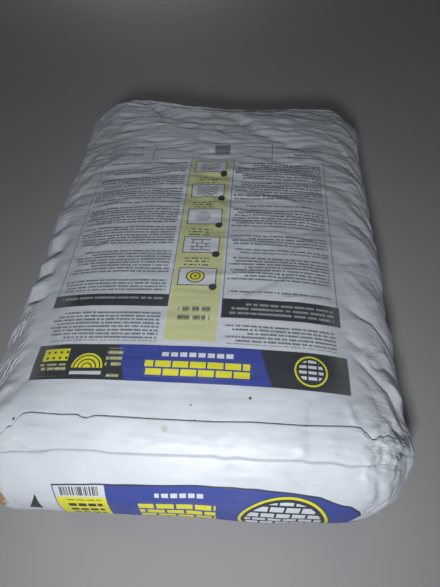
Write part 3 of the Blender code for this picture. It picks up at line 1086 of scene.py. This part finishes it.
def object_texture(tree, kind, stretch=(1, 1, 1), **values):
    """A texture fixed in the sack's own space. Its scale is the number of lumps in a metre."""
    mapping = add_node(tree, "Mapping", Scale=stretch)
    node = add_node(tree, kind, **values)
    tree.links.new(add_node(tree, "TexCoord").outputs["Object"], mapping.inputs[0])
    tree.links.new(mapping.outputs[0], node.inputs["Vector"])
    return node


def object_noise(tree, scale, detail, roughness=0.5, stretch=(1, 1, 1)):
    values = {"Scale": scale, "Detail": detail, "Roughness": roughness}
    node = object_texture(tree, "TexNoise", stretch, **values)
    return Field(tree, node.outputs["Fac"])


def attribute(tree, name):
    node = add_node(tree, "Attribute")
    node.attribute_name = name
    return Field(tree, node.outputs["Fac"])


def object_facets(tree, scale):
    """Hollows with straight sharp crests between them."""
    node = object_texture(tree, "TexVoronoi", Scale=scale)
    from_middle = Field(tree, node.outputs["Distance"])
    return from_middle * from_middle


def bump(tree, height, before=None):
    """Bends the normal by a height in millimetres."""
    node = add_node(tree, "Bump", Distance=MM)
    tree.links.new(height.source, node.inputs["Height"])
    if before:
        tree.links.new(before, node.inputs["Normal"])
    return node.outputs[0]


def paper_relief(tree, u, v, fibre):
    """Creases too fine for the mesh: wrinkles, crumpled facets, slanting pleats and fibres."""
    wrinkle = object_noise(tree, 30, 3, 0.5, (1, 4, 2))
    fine_wrinkle = object_noise(tree, 110, 2, 0.5, (0.6, 1.7, 1))
    crumpled = attribute(tree, "crumpled")
    wrinkles = (wrinkle - 0.5).size() * -2.6 + (fine_wrinkle - 0.5).size() * -0.8
    facet = object_facets(tree, 75) * 0.35 + object_facets(tree, 190) * 0.12
    slant = (u * 0.80 - v * 0.62 + (v / 9).noise(97) * 3) / 3.4
    pleat = (slant.wrap(1) - 0.5).size() * attribute(tree, "pleated") * 2.4
    broken = (slant.floor() * 5.3 + (v + u) / 11).noise(99).above(0.42, 0.15)
    relief = (wrinkles * 0.5 + facet * crumpled) * crumpled + pleat * broken
    normal = bump(tree, relief)
    return bump(tree, fibre * 0.05, normal)


def paper_material():
    material = bpy.data.materials.new("sack_paper")
    material.use_nodes = True
    tree = material.node_tree
    shader = tree.nodes["Principled BSDF"]
    flat = add_node(tree, "UVMap")
    flat.uv_map = "sheet"
    u, v, _ = split(tree, flat.outputs[0], 1 / MM)
    place = split(tree, add_node(tree, "TexCoord").outputs["Object"], 1 / MM)
    right = (u / PRINT_HALF_WIDTH).most(0)
    v = v + RIGHT_PULL * right * right * v.below(-60, 160)
    sheet = Sheet(tree, u, v, WHITE_PAPER)
    mottle = object_noise(tree, 28, 4, 0.6)
    fibre = object_noise(tree, 1400, 3, 0.6)
    worn = object_noise(tree, 160, 5, 0.65)
    fold_line = attribute(tree, "fold_line")
    hollow = attribute(tree, "hollow")

    cloud_paper(sheet, mottle, fibre)
    paper = sheet.colour
    for painter in (paint_dashes, paint_column, paint_band, paint_footer, paint_end):
        sheet.lay(painter)
    rubbed = (worn - 0.72 + fold_line * 0.12).above(0.04, 0.12) * 0.6
    sheet.paint(rubbed, paper)
    sheet.lay(paint_marks)
    # Painted shade: dark lines in the gap under the flap's free edge and in the groove at its fold,
    # and darker crease lines at the near right corner.
    sheet.paint(attribute(tree, "seam_shade") * (0.35 + 0.6 * worn), SEAM_SHADE)
    # Painted shade: a faint dark line along every crease.
    sheet.paint((fold_line * 0.06).clamp(), SEAM_SHADE)
    # Clouded dust, and painted shade that darkens the hollows of the creased paper.
    sheet.paint((hollow * 0.28 + mottle * 0.5 - 0.45).above(0.15, 0.5) * 0.22, DUST_AND_HOLLOW_SHADE)
    tear_corner(sheet, place, worn)
    tree.links.new(sheet.colour, shader.inputs["Base Color"])

    gloss = 0.60 - 0.16 * worn - 0.10 * mottle
    tree.links.new(gloss.source, shader.inputs["Roughness"])
    for name, value in PAPER_GLOSS.items():
        shader.inputs[name].default_value = value
    tree.links.new(paper_relief(tree, u, v, fibre), shader.inputs["Normal"])
    return material


def cloud_paper(sheet, mottle, fibre):
    """White coating over kraft paper: faintly clouded, with fibres showing through."""
    sheet.paint((mottle - 0.5).above(0.05, 0.4) * 0.5, CLOUDED_PAPER)
    sheet.paint(fibre.above(0.62, 0.2) * 0.10, FIBRE)


def tear_corner(sheet, place, worn):
    """The rubbed patch at the near left corner, where brown kraft paper shows."""
    parts = [(along - middle) / half for along, middle, half in zip(place, TEAR_PLACE, TEAR_SIZE)]
    reach = distance(*parts) + worn * 1.4
    sheet.paint(reach.below(1.6, 0.12), KRAFT)
    sheet.paint(reach.between(1.6, 1.75, 0.1) * 0.5, TORN_EDGE)


# Main

def add_object(name, data):
    obj = bpy.data.objects.new(name, data)
    bpy.context.scene.collection.objects.link(obj)
    return obj


def camera():
    data = bpy.data.cameras.new("camera")
    data.lens = CAMERA_LENS
    data.sensor_width = CAMERA_SENSOR
    holder = add_object("camera", data)
    turns = ((CAMERA_LEFT, "Z"), (math.pi / 2 - CAMERA_DOWN, "X"), (CAMERA_ROLL, "Z"))
    holder.matrix_world = Matrix.Translation(CAMERA_PLACE)
    for angle, axis in turns:
        holder.matrix_world = holder.matrix_world @ Matrix.Rotation(angle, 4, axis)
    bpy.context.scene.camera = holder


def simple_material(name, colour, roughness):
    material = bpy.data.materials.new(name)
    material.use_nodes = True
    shader = material.node_tree.nodes["Principled BSDF"]
    shader.inputs["Base Color"].default_value = (*colour, 1)
    shader.inputs["Roughness"].default_value = roughness
    return material


def floor():
    bpy.ops.mesh.primitive_plane_add(size=FLOOR_SIZE, location=(0, 0, 0))
    plane = bpy.context.object
    plane.name = "floor"
    plane.data.materials.append(simple_material("floor", FLOOR_COLOUR, 0.8))


def area_light(name, place, target, size, power, spread=180):
    data = bpy.data.lights.new(name, "AREA")
    data.shape = "SQUARE"
    data.size = size
    data.energy = power
    data.spread = math.radians(spread)
    holder = add_object(name, data)
    aim = Vector(target) - Vector(place)
    holder.rotation_euler = aim.to_track_quat("-Z", "Y").to_euler()
    holder.location = place


def lights():
    for light in LIGHTS:
        area_light(*light)
    world = bpy.data.worlds.new("world")
    world.use_nodes = True
    background = world.node_tree.nodes["Background"]
    background.inputs["Color"].default_value = (*SKY_COLOUR, 1)
    background.inputs["Strength"].default_value = SKY_STRENGTH
    bpy.context.scene.world = world
    bpy.context.scene.view_settings.view_transform = "Standard"


def read_all(items, name):
    """One whole number of each item of a mesh."""
    values = np.empty(len(items), np.int32)
    items.foreach_get(name, values)
    return values


def sheet_coordinates(paper, mesh):
    """Where each face's corners lie on the flat paper. The lower half unrolls from the ends."""
    column = np.tile(np.arange(COLUMN_COUNT), len(paper.station))
    low_side = HALF_TOP_SPANS + LOWER_SIDE_STEPS
    is_low = (column < low_side) | (column >= COLUMN_COUNT - low_side)
    across = np.broadcast_to(ACROSS, paper.station.shape)
    top = np.stack([across.ravel(), paper.station.ravel()], -1)
    under_across = np.where(column < TOP_COLUMN, -1, 1) * (np.abs(top[:, 0]) - ACROSS[0])
    beyond = np.sign(top[:, 1]) * (2 * END_STATION - np.abs(top[:, 1]))
    under = np.stack([under_across, beyond], -1)
    corner = read_all(mesh.loops, "vertex_index")
    start, total = read_all(mesh.polygons, "loop_start"), read_all(mesh.polygons, "loop_total")
    low_face = np.logical_or.reduceat(is_low[corner], start)
    return np.where(np.repeat(low_face, total)[:, None], under[corner], top[corner])


def sack_mesh(paper):
    """One closed mesh of the rows and columns, with its flat underside as a single face."""
    points = paper.surface()
    row_count = len(points)
    index = np.arange(row_count * COLUMN_COUNT).reshape(row_count, COLUMN_COUNT)
    following = np.roll(index, -1, 1)
    quads = np.stack([index[:-1], index[1:], following[1:], following[:-1]], -1)
    left, right = COLUMN_COUNT - HALF_TOP_SPANS, HALF_TOP_SPANS
    across = np.concatenate([np.arange(left, COLUMN_COUNT), np.arange(0, right + 1)])
    flat_rows = np.nonzero((paper.form[:, across, 2] < 1e-6).all(1))[0]
    first, last = flat_rows[0], flat_rows[-1]
    kept = np.ones(quads.shape[:2], bool)
    kept[first:last, across[:-1]] = False
    underside = np.concatenate([
        index[first, across],
        index[first + 1:last + 1, right],
        index[last, across[::-1][1:]],
        index[first + 1:last, left][::-1],
    ])[::-1]
    faces = [tuple(quad) for quad in quads[kept].tolist()] + [tuple(underside.tolist())]
    mesh = bpy.data.meshes.new("sack_paper")
    mesh.from_pydata(points.reshape(-1, 3).tolist(), [], faces)
    mesh.uv_layers.new(name="sheet").data.foreach_set("uv", sheet_coordinates(paper, mesh).ravel())
    names = ("fold_line", "crumpled", "pleated", "seam_shade")
    layers = {name: getattr(paper, name) for name in names}
    # How deep each point lies below the plain form, for the painted shade in hollows
    layers["hollow"] = -paper.height / MM
    for name, values in layers.items():
        mesh.attributes.new(name, "FLOAT", "POINT").data.foreach_set("value", values.ravel())
    bm = bmesh.new()
    bm.from_mesh(mesh)
    bmesh.ops.delete(bm, geom=[v for v in bm.verts if not v.link_faces], context="VERTS")
    bmesh.ops.remove_doubles(bm, verts=bm.verts, dist=1e-6)
    bm.to_mesh(mesh)
    bm.free()
    mesh.shade_smooth()
    return mesh


def sack():
    paper = Paper(*all_rows())
    lumps(paper)
    place_creases(paper)
    paper.close_ends()
    # Darker lines along the creases of the near right corner, added to the seam's painted shade.
    paper.seam_shade = np.clip(paper.seam_shade + 0.15 * paper.corner * paper.fold_line, 0, 1)
    obj = add_object("sack_paper", sack_mesh(paper))
    obj.data.materials.append(paper_material())
    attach(obj, "root")
    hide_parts("sack")


camera()
floor()
lights()
sack()
